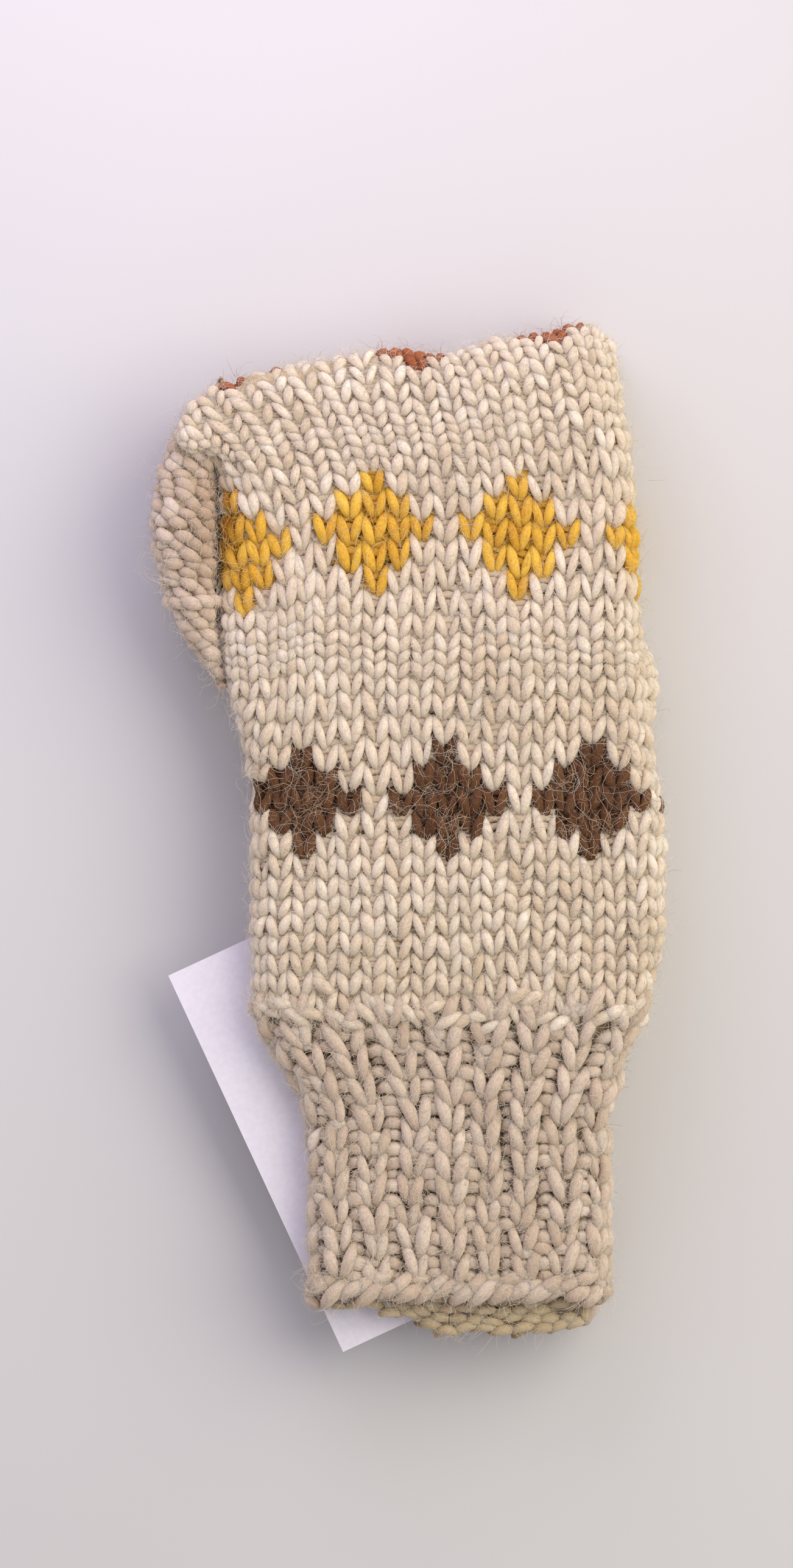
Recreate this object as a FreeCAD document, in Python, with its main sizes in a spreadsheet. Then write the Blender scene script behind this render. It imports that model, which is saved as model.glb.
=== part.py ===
"""A pair of knitted mittens lying palm to palm with a blank label card between them, in millimetres.

Frame: +Z up off the table, +Y from the cuff to the fingertips, +X to the right seen from above.
Origin: on the resting plane, in the middle of the lower mitten's flat under side.
Every length named along is measured from the middle of the cuffs' edge.
The right mitten is the upper one. The left mitten is its mirror image in the plane of the card.
"""
import FreeCAD, Part
import math
import os
import Sketcher

document = FreeCAD.newDocument("knitted_mittens")
sheet = document.addObject("Spreadsheet::Sheet", "sizes")
next_row = [1]


def size(name, value):
    """Puts one driving dimension in the sheet under its own alias."""
    row = next_row[0]
    sheet.set(f"A{row}", name)
    sheet.set(f"B{row}", str(value))
    sheet.setAlias(f"B{row}", name)
    next_row[0] = row + 1


# Knitting gauge and the fabric
size("stitch_wide", 5.03)
size("round_tall", 4.38)
size("fabric", 3.0)
size("seam_gap", 0.1)
size("float_gap", 0.12)
size("float_thick", 0.9)
size("float_wide", 1.4)

# Heights of the stack: lower mitten, card, upper mitten
size("upper_base", 15.5)
size("mirror_height", 15.0)
size("big", 260)
size("past", 1)
size("pressed", 0.1)
size("origin_along", 134)

# Card tucked between the two mittens
size("card_long", 87)
size("card_wide", 55)
size("card_thick", 0.4)
size("card_turn", 24.9)
size("card_corner_across", -24.4)
size("card_corner_along", -12.2)

# Lengths along the mitten
size("cast_on_tall", 3.6)
size("edge_slant", 24)
size("cuff_end", 57.7)
size("hand_start", 58.0)
size("increase_end", 62.0)

# Each row of diamonds: the length where it sits, its first diamond and the rise from one to the next
size("repeat_stitches", 6)
size("brown_along", 102.9)
size("brown_first", -32.4)
size("brown_rise", 0)
size("yellow_along", 159.6)
size("yellow_first", -47.5)
size("yellow_rise", 0)
size("rust_along", 197.0)
size("rust_first", -38.5)
size("rust_rise", 4.5)

# Thumb
size("thumb_ridge_start", 143.2)
size("thumb_ridge_end", 146.2)
size("thumb_tip_start", 184.2)
size("thumb_hole_start", 138.5)
size("thumb_hole_long", 9)
size("thumb_hole_across", 14)
size("thumb_hole_tall", 4)

# Closing of the tip, on the palm side, and the two woven-in yarn ends
size("gather_across", -8)
size("gather_along", 178)
size("gather_radius", 6)
size("tail_radius", 0.5)
size("tail_lift", 0.65)
size("cuff_tail_across", -24)
size("cuff_tail_along", 6)
size("cuff_tail_long", 40)
size("tip_tail_across", -40)
size("tip_tail_along", 176)
size("tip_tail_long", 30)

HAND_STATIONS = {
    "edge": (-9, -31.3, 31.3, 11),
    "cuff_top": (38, -31.8, 31.6, 11),
    "wrist": (48, -37, 34.8, 12),
    "heel": (58, -43.4, 39.0, 13.5),
    "palm": (75, -43.8, 43.1, 14.6),
    "pattern": (98, -43.8, 43.1, 14.6),
    "waist": (112, -44.7, 40.8, 14.6),
    "thumb_root": (126, -48.5, 39.2, 14.6),
    "knuckle": (142, -50.0, 37.9, 14.6),
    "finger": (178, -50.4, 36.0, 14.6),
    "shoulder": (188, -47.4, 33.9, 14.6),
    "crown": (193.5, -38.6, 33.2, 13.6),
    "roof": (197.5, -22, 32.2, 11.2),
    "roof_top": (201.3, 8, 30.2, 7.4),
}
ROOF_END = {"roof_end": (203.2, 20, 27.5, 3.0)}
CAVITY_END = {"cavity_end": (199.6, 6, 27.5, 7.4)}

# The corner of the hand's upper layer that folds out over the tip of the thumb
SHOULDER_FOLD = {
    "fold_start": (175.0, -55.5, -43, 2.6),
    "fold_low": (178.5, -60.3, -43, 2.9),
    "fold_mid": (183.5, -58.6, -42, 2.9),
    "fold_high": (187.5, -54.8, -40, 2.9),
    "fold_end": (191.0, -49.5, -37, 2.6),
}

THUMB_STATIONS = {
    "gusset_foot": (126.6, -50.0, -48.9, 1.0),
    "gusset_low": (132, -53.2, -49.6, 3.5),
    "gusset_mid": (136.5, -56.9, -50.0, 6.8),
    "gusset_high": (141, -59.3, -50.4, 8.8),
    "thumb_low": (147, -61.6, -50.5, 11.0),
    "thumb_mid": (156, -64.2, -50.7, 13.2),
    "thumb_full": (163, -64.4, -50.8, 13.2),
    "thumb_high": (173.5, -62.6, -51.1, 8.4),
    "thumb_neck": (184, -57.8, -50.2, 7.2),
    "thumb_tip": (189.5, -53.4, -47.5, 5.6),
}
THUMB_END = {"thumb_end": (191.6, -51.2, -48.6, 2.0)}

for stations in (HAND_STATIONS, ROOF_END, CAVITY_END, SHOULDER_FOLD, THUMB_STATIONS, THUMB_END):
    for name, (along, left, right, thick) in stations.items():
        size(f"{name}_along", along)
        size(f"{name}_left", left)
        size(f"{name}_right", right)
        size(f"{name}_thick", thick)
document.recompute()


def slot_section(label, station, height, inset):
    """One flattened ring of the tube: a slot standing across the mitten, offset inwards by inset."""
    sketch = document.addObject("Sketcher::SketchObject", label)
    half_thick = sheet.get(f"{station}_thick") / 2
    radius = half_thick - inset_value(inset)
    first = sheet.get(f"{station}_left") + half_thick
    last = sheet.get(f"{station}_right") - half_thick
    out = FreeCAD.Vector(0, 0, 1)
    quarter = math.pi / 2
    low_left = FreeCAD.Vector(first, -radius, 0)
    low_right = FreeCAD.Vector(last, -radius, 0)
    top_right = FreeCAD.Vector(last, radius, 0)
    top_left = FreeCAD.Vector(first, radius, 0)
    right_circle = Part.Circle(FreeCAD.Vector(last, 0, 0), out, radius)
    left_circle = Part.Circle(FreeCAD.Vector(first, 0, 0), out, radius)
    floor = sketch.addGeometry(Part.LineSegment(low_left, low_right), False)
    right_arc = sketch.addGeometry(Part.ArcOfCircle(right_circle, -quarter, quarter), False)
    roof = sketch.addGeometry(Part.LineSegment(top_right, top_left), False)
    left_arc = sketch.addGeometry(Part.ArcOfCircle(left_circle, quarter, 3 * quarter), False)
    for rule in (
        ("Tangent", floor, 2, right_arc, 1),
        ("Tangent", right_arc, 2, roof, 1),
        ("Tangent", roof, 2, left_arc, 1),
        ("Tangent", left_arc, 2, floor, 1),
        ("Horizontal", floor),
        ("PointOnObject", left_arc, 3, -1),
        ("PointOnObject", right_arc, 3, -1),
    ):
        sketch.addConstraint(Sketcher.Constraint(*rule))
    half = f"sizes.{station}_thick / 2"
    for rule, kind, where, value, formula in (
        ("round_radius", "Radius", (right_arc,), radius, f"{half} - ({inset})"),
        ("first", "DistanceX", (-1, 1, left_arc, 3), first, f"sizes.{station}_left + {half}"),
        ("last", "DistanceX", (-1, 1, right_arc, 3), last, f"sizes.{station}_right - {half}"),
    ):
        index = sketch.addConstraint(Sketcher.Constraint(kind, *where, value))
        sketch.renameConstraint(index, rule)
        sketch.setExpression(f"Constraints.{rule}", formula)
    upright = FreeCAD.Rotation(FreeCAD.Vector(1, 0, 0), 90)
    sketch.Placement = FreeCAD.Placement(FreeCAD.Vector(0, 0, 0), upright)
    sketch.setExpression("Placement.Base.y", f"sizes.{station}_along - sizes.origin_along")
    sketch.setExpression("Placement.Base.z", height.format(station=station))
    return sketch


def inset_value(inset):
    """The number behind an inset written with the sheet's own aliases."""
    total = 0.0
    for term in inset.split("+"):
        term = term.strip().replace("sizes.", "")
        total += sheet.get(term) if term != "0" else 0.0
    return total


# A mitten lies on the plane under it, so each ring's middle is half its thickness above that plane.
LYING = "sizes.upper_base + sizes.{station}_thick / 2"
# The fold lies level with the top of the hand.
FOLD_LEVEL = "sizes.upper_base + sizes.finger_thick - sizes.{station}_thick / 2"
# The thumb hangs at the middle height of the hand beside it.
THUMB_LEVEL = "sizes.upper_base + sizes.finger_thick / 2"


def tube(label, stations, height, inset):
    """A closed solid through the rings of the given stations."""
    loft = document.addObject("Part::Loft", label)
    loft.Sections = [slot_section(f"{label}_{name}", name, height, inset) for name in stations]
    loft.Solid = True
    loft.Ruled = True
    return loft


def block(label, across, along, level, length, width, tall):
    """A box whose corner and sizes are expressions of the sheet."""
    box = document.addObject("Part::Box", label)
    box.setExpression("Placement.Base.x", across)
    box.setExpression("Placement.Base.y", f"({along}) - sizes.origin_along")
    box.setExpression("Placement.Base.z", level)
    box.setExpression("Length", length)
    box.setExpression("Width", width)
    box.setExpression("Height", tall)
    return box


def slab(label, start, end):
    """Everything between two lengths along the mitten."""
    across = "-sizes.big / 2"
    width = f"({end}) - ({start})"
    return block(label, across, start, across, "sizes.big", width, "sizes.big")


def common(label, first, second):
    """What two shapes share."""
    result = document.addObject("Part::Common", label)
    result.Base = first
    result.Tool = second
    return result


def cut(label, base, tool):
    """The base without the tool."""
    result = document.addObject("Part::Cut", label)
    result.Base = base
    result.Tool = tool
    return result


def together(label, shapes):
    """Several shapes joined into one."""
    result = document.addObject("Part::MultiFuse", label)
    result.Shapes = shapes
    return result


def pressed_space(label):
    """Everything under the plane that the hand's broad side is pressed to."""
    level = "sizes.upper_base + sizes.finger_thick - sizes.pressed - sizes.big"
    start = "-sizes.big / 2"
    return block(label, start, start, level, "sizes.big", "sizes.big * 2", "sizes.big")


# The hand and the cuff are one flattened tube, closed at the fingertips and open at the cuff.
# Its broad side is pressed flat, so that the pair rests on a true plane.
outer_tube = tube("outer_tube", list(HAND_STATIONS) + list(ROOF_END), LYING, "0")
outer = common("outer", outer_tube, pressed_space("hand_space"))
cavity_stations = [name for name in HAND_STATIONS if name != "roof_top"] + list(CAVITY_END)
cavity = tube("cavity", cavity_stations, LYING, "sizes.fabric")
fabric_tube = cut("fabric_tube", outer, cavity)


def edge_plane(label, rise):
    """Everything above the cuff's slanting edge, the palm side hanging lower, moved up by rise."""
    box = document.addObject("Part::Box", label)
    box.setExpression("Length", "sizes.big")
    box.setExpression("Width", "sizes.big")
    box.setExpression("Height", "sizes.big")
    turn = FreeCAD.Rotation(FreeCAD.Vector(1, 0, 0), -sheet.get("edge_slant"))
    level = sheet.get("upper_base") + sheet.get("edge_thick")
    half = sheet.get("big") / 2
    corner = FreeCAD.Vector(-half, 0, -half)
    place = FreeCAD.Vector(0, rise - sheet.get("origin_along"), level)
    box.Placement = FreeCAD.Placement(place + turn.multVec(corner), turn)
    return box


above_edge = edge_plane("above_edge", 0)
above_cast_on = edge_plane("above_cast_on", sheet.get("cast_on_tall"))
above_gap = edge_plane("above_gap", sheet.get("cast_on_tall") + sheet.get("seam_gap"))
cuff_slab = slab("cuff_slab", "-sizes.big / 2", "sizes.cuff_end")
cuff_tube = common("cuff_tube", fabric_tube, cuff_slab)
cast_on_edge = cut("cast_on_edge", common("edge_ring", cuff_tube, above_edge), above_cast_on)
ribbed_cuff = common("ribbed_cuff", cuff_tube, above_gap)
increase_round = common(
    "increase_round",
    fabric_tube,
    slab("increase_slab", "sizes.hand_start", "sizes.increase_end"),
)


# Each diamond is three crossed bars, given as stitches wide by rounds tall.
DIAMOND_BARS = ((1, 5), (3, 3), (5, 1))
DIAMONDS_IN_A_ROW = 4


def diamond(label, across, along, shrink):
    """A stepped diamond, right through the mitten."""
    boxes = []
    for wide, tall in DIAMOND_BARS:
        length = f"({wide} * sizes.stitch_wide - 2 * ({shrink}))"
        width = f"({tall} * sizes.round_tall - 2 * ({shrink}))"
        boxes.append(
            block(
                f"{label}_{wide}",
                f"({across}) - {length} / 2",
                f"({along}) - {width} / 2",
                "-sizes.big / 2",
                length,
                width,
                "sizes.big",
            )
        )
    return together(label, boxes)


def band(label, colour, shrink):
    """One colour's row of diamonds: one to each repeat, each further up by the rise."""
    diamonds = []
    for step in range(DIAMONDS_IN_A_ROW):
        across = f"sizes.{colour}_first + {step} * sizes.repeat_stitches * sizes.stitch_wide"
        along = f"sizes.{colour}_along + {step} * sizes.{colour}_rise"
        diamonds.append(diamond(f"{label}_{step}", across, along, shrink))
    return together(label, diamonds)


COLOURS = ("brown", "yellow", "rust")
windows = [band(f"{colour}_window", colour, "0") for colour in COLOURS]
insets = []
for colour in COLOURS:
    inset_band = band(f"{colour}_inset", colour, "sizes.seam_gap")
    insets.append(common(f"{colour}_diamonds", fabric_tube, inset_band))

# The thumb's hole through the side of the hand, and the drawn-in closing of the tip.
thumb_hole = block(
    "thumb_hole",
    "sizes.knuckle_left - sizes.thumb_hole_across / 2",
    "sizes.thumb_hole_start",
    "sizes.upper_base + sizes.finger_thick / 2 - sizes.thumb_hole_tall / 2",
    "sizes.thumb_hole_across",
    "sizes.thumb_hole_long",
    "sizes.thumb_hole_tall",
)


def gather_disc(label, shrink, tall):
    """A round plate where the last stitches are drawn together, on the palm side."""
    disc = document.addObject("Part::Cylinder", label)
    disc.setExpression("Radius", f"sizes.gather_radius - {shrink}")
    disc.setExpression("Height", tall)
    disc.setExpression("Placement.Base.x", "sizes.gather_across")
    disc.setExpression("Placement.Base.y", "sizes.gather_along - sizes.origin_along")
    disc.setExpression("Placement.Base.z", "sizes.upper_base")
    return disc


tip_gather = gather_disc("tip_gather", "sizes.seam_gap", "sizes.fabric")
hand_slab = slab("hand_slab", "sizes.increase_end + sizes.seam_gap", "sizes.big")
gather_hole = gather_disc("gather_hole", "0", "sizes.fabric + sizes.past")
openings = together("openings", windows + [thumb_hole, gather_hole])
fold = common("fold", tube("fold_tube", list(SHOULDER_FOLD), FOLD_LEVEL, "0"), pressed_space("fold_space"))
shoulder_fold = cut("shoulder_fold", fold, cavity)
hand_fabric = together("hand_fabric", [common("hand_tube", fabric_tube, hand_slab), shoulder_fold])
hand = cut("hand", hand_fabric, openings)


def floats(colour, along, rounds):
    """Strands carried behind the diamonds, one loop inside the hand for each round of the band."""
    half = (rounds - 1) / 2
    strips = []
    for index in range(rounds):
        start = f"{along} + {index - half} * sizes.round_tall - sizes.float_wide / 2"
        strips.append(slab(f"{colour}_float_{index}", start, f"{start} + sizes.float_wide"))
    return common(f"{colour}_floats", lining, together(f"{colour}_strips", strips))


lining_outer = tube("lining_outer", cavity_stations, LYING, "sizes.fabric + sizes.float_gap")
lining_inner = tube(
    "lining_inner",
    cavity_stations[:-1],
    LYING,
    "sizes.fabric + sizes.float_gap + sizes.float_thick",
)
lining = cut("lining", lining_outer, lining_inner)
brown_floats = floats("brown", "sizes.brown_along", 5)
yellow_floats = floats("yellow", "sizes.yellow_along", 5)
rust_floats = floats("rust", "(sizes.shoulder_along + sizes.round_tall)", 2)


def tail(label, axis, angle):
    """A yarn end woven in flat against the inside of the palm."""
    end = document.addObject("Part::Cylinder", label)
    end.Placement.Rotation = FreeCAD.Rotation(axis, angle)
    end.setExpression("Radius", "sizes.tail_radius")
    end.setExpression("Height", f"sizes.{label}_long")
    end.setExpression("Placement.Base.x", f"sizes.{label}_across")
    end.setExpression("Placement.Base.y", f"sizes.{label}_along - sizes.origin_along")
    end.setExpression("Placement.Base.z", "sizes.upper_base + sizes.fabric + sizes.tail_lift")
    return end


# One end runs up from the cuff's edge, the other runs across under the tip.
cuff_tail = tail("cuff_tail", FreeCAD.Vector(1, 0, 0), -90)
tip_tail = tail("tip_tail", FreeCAD.Vector(0, 1, 0), 90)

# The thumb is a tapered tube of its own beside the hand.
thumb_outer = tube("thumb_outer", list(THUMB_STATIONS) + list(THUMB_END), THUMB_LEVEL, "0")
hollow_rings = [name for name in THUMB_STATIONS if THUMB_STATIONS[name][3] > 8]
thumb_cavity = tube("thumb_cavity", hollow_rings, THUMB_LEVEL, "sizes.fabric")
thumb_way = together("thumb_way", [thumb_cavity, thumb_hole])
thumb_shell = cut("thumb_shell", thumb_outer, thumb_way)
THUMB_CUTS = {
    "thumb_gusset": (
        "sizes.gusset_foot_along - sizes.past",
        "sizes.thumb_ridge_start - sizes.seam_gap",
    ),
    "thumb_ridge": ("sizes.thumb_ridge_start", "sizes.thumb_ridge_end - sizes.seam_gap"),
    "thumb_tube": ("sizes.thumb_ridge_end", "sizes.thumb_tip_start - sizes.seam_gap"),
    "thumb_gather": ("sizes.thumb_tip_start", "sizes.thumb_end_along + sizes.past"),
}
thumb_parts = [
    common(label, thumb_shell, slab(f"{label}_slab", start, end))
    for label, (start, end) in THUMB_CUTS.items()
]


def label_card():
    """A stiff paper card: a padded rectangle turned in the plane between the mittens."""
    body = document.addObject("PartDesign::Body", "label_card")
    sketch = body.newObject("Sketcher::SketchObject", "card_outline")
    ground = next(f for f in body.Origin.OriginFeatures if f.Role == "XY_Plane")
    sketch.AttachmentSupport = [(ground, "")]
    sketch.MapMode = "FlatFace"
    wide = sheet.get("card_wide")
    long = sheet.get("card_long")
    corners = [
        FreeCAD.Vector(0, 0, 0),
        FreeCAD.Vector(wide, 0, 0),
        FreeCAD.Vector(wide, long, 0),
        FreeCAD.Vector(0, long, 0),
    ]
    for index in range(4):
        sketch.addGeometry(Part.LineSegment(corners[index], corners[(index + 1) % 4]), False)
    for index in range(4):
        sketch.addConstraint(Sketcher.Constraint("Coincident", index, 2, (index + 1) % 4, 1))
    sketch.addConstraint(Sketcher.Constraint("Horizontal", 0))
    sketch.addConstraint(Sketcher.Constraint("Horizontal", 2))
    sketch.addConstraint(Sketcher.Constraint("Vertical", 1))
    sketch.addConstraint(Sketcher.Constraint("Vertical", 3))
    sketch.addConstraint(Sketcher.Constraint("Coincident", 0, 1, -1, 1))
    across = sketch.addConstraint(Sketcher.Constraint("DistanceX", 0, 1, 0, 2, wide))
    up = sketch.addConstraint(Sketcher.Constraint("DistanceY", 1, 1, 1, 2, long))
    sketch.renameConstraint(across, "card_across")
    sketch.renameConstraint(up, "card_up")
    sketch.setExpression("Constraints.card_across", "sizes.card_wide")
    sketch.setExpression("Constraints.card_up", "sizes.card_long")
    pad = body.newObject("PartDesign::Pad", "card_thickness")
    pad.Profile = sketch
    pad.setExpression("Length", "sizes.card_thick")
    body.Placement = FreeCAD.Placement(
        FreeCAD.Vector(
            sheet.get("card_corner_across"),
            sheet.get("card_corner_along") - sheet.get("origin_along"),
            sheet.get("mirror_height") - sheet.get("card_thick") / 2,
        ),
        FreeCAD.Rotation(FreeCAD.Vector(0, 0, 1), sheet.get("card_turn")),
    )
    return body


right_parts = [
    cast_on_edge,
    ribbed_cuff,
    increase_round,
    hand,
    *insets,
    brown_floats,
    yellow_floats,
    rust_floats,
    tip_gather,
    cuff_tail,
    tip_tail,
    *thumb_parts,
]
nodes = [label_card()]
for part in right_parts:
    plain_name = part.Name
    part.Label = f"right_{plain_name}"
    twin = document.addObject("Part::Mirroring", f"left_{plain_name}")
    twin.Source = part
    twin.Normal = FreeCAD.Vector(0, 0, 1)
    twin.Base = FreeCAD.Vector(0, 0, sheet.get("mirror_height"))
    twin.setExpression("Base.z", "sizes.mirror_height")
    nodes += [part, twin]

document.recompute()
for item in document.Objects:
    if "Invalid" in item.State or "Error" in item.State:
        raise RuntimeError(f"{item.Label} did not compute: {item.State}")
os.makedirs("parts", exist_ok=True)
for node in nodes:
    if node.Shape.isNull() or not node.Shape.isValid():
        raise RuntimeError(f"{node.Label} has no valid shape")
    node.Shape.exportStep(os.path.join("parts", f"{node.Label}.step"))
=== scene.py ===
"""The looks of a pair of hand-knitted mittens, strand by strand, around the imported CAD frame.

Working lengths are millimetres: across (x), along from the cuffs' edge (y) and up from the table (z).
Both mittens are laid out as the right one, which lies on top, and the left one is then mirrored.
"""
import math

import bpy
import numpy as np
from numpy.random import default_rng
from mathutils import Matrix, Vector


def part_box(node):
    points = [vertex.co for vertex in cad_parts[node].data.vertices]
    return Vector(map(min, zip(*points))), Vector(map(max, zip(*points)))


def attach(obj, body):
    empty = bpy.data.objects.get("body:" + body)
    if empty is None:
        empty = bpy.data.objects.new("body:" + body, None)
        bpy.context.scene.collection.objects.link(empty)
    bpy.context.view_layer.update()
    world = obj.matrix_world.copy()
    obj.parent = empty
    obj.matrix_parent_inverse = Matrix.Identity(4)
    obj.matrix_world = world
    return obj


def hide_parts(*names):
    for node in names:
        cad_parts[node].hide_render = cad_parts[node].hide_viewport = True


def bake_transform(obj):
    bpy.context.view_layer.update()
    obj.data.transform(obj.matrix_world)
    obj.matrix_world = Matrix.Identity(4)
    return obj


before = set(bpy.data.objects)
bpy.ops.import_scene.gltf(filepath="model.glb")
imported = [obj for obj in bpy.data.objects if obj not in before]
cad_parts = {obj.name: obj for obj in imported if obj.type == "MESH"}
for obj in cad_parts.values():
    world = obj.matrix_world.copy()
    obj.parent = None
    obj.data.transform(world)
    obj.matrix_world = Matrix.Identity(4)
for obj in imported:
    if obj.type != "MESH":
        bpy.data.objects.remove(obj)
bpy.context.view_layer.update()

MM = 0.001
ORIGIN_ALONG = 134.0
MIRROR_HEIGHT = 15.0
PALM_HEIGHT = 15.5
TABLE_CLEARANCE = 0.05

# The outline: where it is read from the CAD, the fold over the thumb, and how much it is smoothed
BELOW_EDGE = -30.0
CUFF_START, CUFF_END = 3.0, 57.0
HAND_START = 63.0
FOLD_START, FOLD_END = 171.0, 194.0
FOLD_INNER_SIDE = -46.0
FOLD_UNDERSIDE = 26.8
FOLD_RADIUS = 3.6
SMOOTHING = 3.0

# Knitting gauge of the hand
STITCH = 5.03
ROUND = 4.35
ROUND_ABOVE_YELLOW = 3.75
FIRST_COLUMN = -2.7
FIRST_ROUND = 59.6
LAST_ROUND = 37
LAST_COLUMN = 12

# Bands of diamonds: each one's middle round, and a column in which one of its diamonds stands
REPEAT = 6
DIAMOND_REACH = 2
BANDS = {"brown": (10, 0), "yellow": (23, 3), "rust": (36, 0)}
BROWN_ROUND, YELLOW_ROUND, RUST_ROUND = (band[0] for band in BANDS.values())

# Cuff
RIB_PITCH = 7.86
RIB_MIDDLE = -2.0
RIB_ROUND = 5.3
RIB_ROUNDS = 11
RIBS_EACH_SIDE = 4
CUFF_LEVEL = 20.0
PALM_HANGS = 6.0

# Radius of each kind of strand at its fullest
STITCH_RADIUS = 1.04 * 0.98
STITCH_WIDENED = 1.02 / 0.98
HEAD_RADIUS = 1.05
RIB_RADIUS = 1.30
PURL_RADIUS = 1.45
CAST_ON_RADIUS = 1.55
INSIDE_RADIUS = 1.25
INCREASE_RADIUS = 1.25
THUMB_RADIUS = 1.28
RIDGE_RADIUS = 1.4
THUMB_CLOSING_RADIUS = 1.15
TIP_CLOSING_RADIUS = 0.9
FLOAT_RADIUS = 0.42
TAIL_RADIUS = 0.7

# Steps along a strand and sides round it: finer on the upper mitten's front
FRONT_DETAIL = (8, 8)
OTHER_DETAIL = (5, 6)
FIBRES_EACH = 14

rng = default_rng(74)


# ---- small helpers
def smooth(value):
    """0 below 0, 1 above 1, easing in between."""
    t = np.clip(value, 0.0, 1.0)
    return t * t * (3 - 2 * t)


def between(value, low, low_ease, high, high_ease):
    """0 outside low and high, easing to 1 between them."""
    return smooth((value - low) / low_ease) * smooth((high - value) / high_ease)


def bell(value, middle, width, power=2):
    """1 at the middle, falling to 0 past the width."""
    return np.exp(-np.abs((value - middle) / width) ** power)


def unit(vectors):
    """The same vectors at length 1."""
    length = np.linalg.norm(vectors, axis=-1, keepdims=True)
    return vectors / np.maximum(length, 1e-9)


def ripple(x, y, seed, scale):
    """A smooth seeded wave between about -1 and 1, for slow unevenness over the fabric."""
    wave = default_rng(seed)
    total = 0.0
    for _ in range(5):
        heading = wave.uniform(0, 2 * math.pi)
        pitch = scale * wave.uniform(0.6, 1.6)
        phase = wave.uniform(0, 2 * math.pi)
        run = x * math.cos(heading) + y * math.sin(heading)
        total = total + np.sin(run * 2 * math.pi / pitch + phase)
    return total / 2.5


def pairs_of(first, second):
    """Every value of one list with every value of another, as two flat lists."""
    return [grid.ravel().astype(float) for grid in np.meshgrid(first, second)]


def steps_along(steps):
    """Evenly spaced shares of a strand's length, as one row."""
    return np.linspace(0, 1, steps)[None]


def vary(own, many, kinds):
    """Some kinds of random unevenness, each a column with a value for every strand."""
    return own.normal(0, 1, (many, kinds)).T[..., None]


def turns(many, offset=0.0):
    """Evenly spaced angles round a full turn, as a column."""
    return ((np.arange(many) + offset) / many * 2 * math.pi)[:, None]


def swell(t, start=0.04, span=0.94):
    """How full a strand is along its length: 1 in the middle, a little at its ends."""
    return np.sin(math.pi * np.clip(t * span + start, 0, 1))


def sleeve(rings, corners):
    """The quads between neighbouring rings, whose corners are numbered ring by ring."""
    corner = np.arange(rings * corners).reshape(rings, corners)
    after = np.roll(corner, -1, axis=1)
    return np.stack([corner[:-1], corner[1:], after[1:], after[:-1]], axis=-1).reshape(-1, 4)


# ---- the mitten's shape, from the CAD nodes
def node_edges(names):
    """Both ends of every mesh edge of some of the right mitten's CAD nodes."""
    found = []
    for name in names:
        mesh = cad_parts[f"right_{name}"].data
        corners = np.array([corner.co for corner in mesh.vertices]) / MM + (0, ORIGIN_ALONG, 0)
        found.append(corners[np.array([edge.vertices[:] for edge in mesh.edges])])
    found = np.concatenate(found)
    return found[:, 0], found[:, 1]


def node_box(name):
    """Lowest and highest corners of one of the right mitten's CAD nodes."""
    return [np.array(corner) / MM + (0, ORIGIN_ALONG, 0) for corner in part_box(f"right_{name}")]


def section(edges, level, lowest=None):
    """Where the solids cross a plane at one length: least and greatest x, least and greatest z."""
    start, end = edges
    crossing = (start[:, 1] - level) * (end[:, 1] - level) < 0
    start, end = start[crossing], end[crossing]
    share = ((level - start[:, 1]) / (end[:, 1] - start[:, 1]))[:, None]
    points = start + share * (end - start)
    if lowest is not None:
        points = points[points[:, 2] < lowest]
    return points[:, 0].min(), points[:, 0].max(), points[:, 2].min(), points[:, 2].max()


CUFF_NODES = ["cast_on_edge", "ribbed_cuff", "increase_round"]
HAND_NODES = ["hand", "brown_diamonds", "yellow_diamonds", "rust_diamonds"]
THUMB_NODES = ["thumb_gusset", "thumb_ridge", "thumb_tube", "thumb_gather"]
body_edges = node_edges(CUFF_NODES + HAND_NODES)
hand_end = node_box("hand")[1][1]


def outline(with_fold):
    """The mitten's closed outline seen from above, smoothed, running straight on below the cuff."""
    left, right = [], []
    levels = np.r_[np.arange(CUFF_START, CUFF_END, 1.5), np.arange(HAND_START, hand_end - 0.3, 1.0)]
    for level in levels:
        limit = None if with_fold or level > FOLD_END else FOLD_UNDERSIDE
        low, high = section(body_edges, level, limit)[:2]
        left.append((low, level))
        right.append((high, level))
    left.insert(0, (left[0][0], BELOW_EDGE))
    right.insert(0, (right[0][0], BELOW_EDGE))
    loop = np.array(right + left[::-1] + right[:1])
    steps = np.r_[0, np.cumsum(np.linalg.norm(np.diff(loop, axis=0), axis=1))]
    marks = np.arange(0, steps[-1], 1.0)
    loop = np.stack([np.interp(marks, steps, loop[:, k]) for k in (0, 1)], axis=1)
    reach = np.arange(-3 * SMOOTHING, 3 * SMOOTHING + 1).astype(int)
    weights = bell(reach, 0, SMOOTHING * math.sqrt(2))
    weights /= weights.sum()
    once = sum(w * np.roll(loop, -shift, axis=0) for w, shift in zip(weights, reach))
    twice = sum(w * np.roll(once, -shift, axis=0) for w, shift in zip(weights, reach))
    return 2 * once - twice


GRID_STEP = 1.0
GRID_X = np.arange(-90.0, 71.0, GRID_STEP)
GRID_Y = np.arange(-28.0, 226.0, GRID_STEP)


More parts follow.
